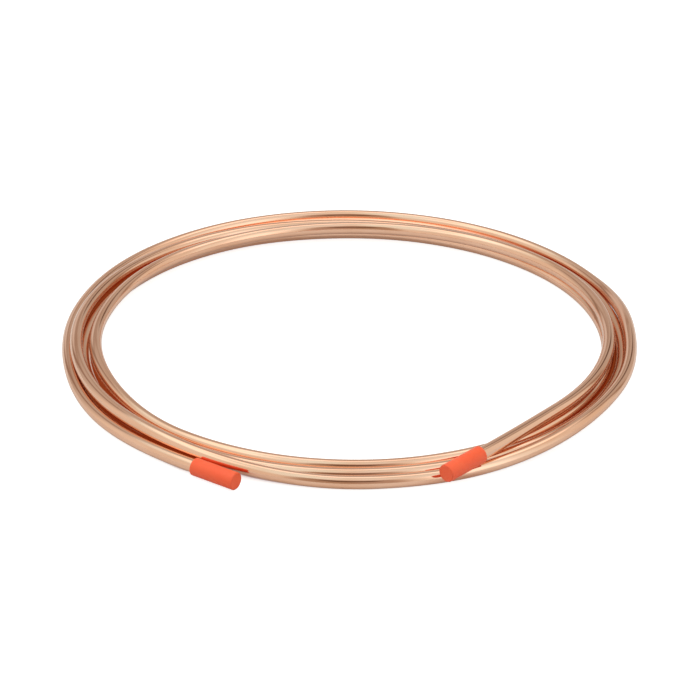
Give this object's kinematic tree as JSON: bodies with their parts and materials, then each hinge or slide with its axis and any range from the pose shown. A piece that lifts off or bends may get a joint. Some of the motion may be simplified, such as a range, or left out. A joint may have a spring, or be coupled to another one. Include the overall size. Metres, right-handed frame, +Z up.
{
  "type": "coil of soft copper tube",
  "caption": "Loose flat coil of bright soft copper tube, its turns lying side by side and crossing, with a short orange vinyl cap pushed over each free end.",
  "frame": {"origin": "centre of the overall box on the floor that the coil lies on", "axes": "+Z up, along the coil's axis; both free ends are towards -Y"},
  "size_m": [0.2872, 0.2962, 0.0155],
  "materials": {
    "copper": "bright drawn copper",
    "vinyl": "soft satin vinyl"
  },
  "bodies": {
    "root": {"copper_tube": "copper", "end_cap_a": "vinyl", "end_cap_b": "vinyl"}
  },
  "joints": []
}
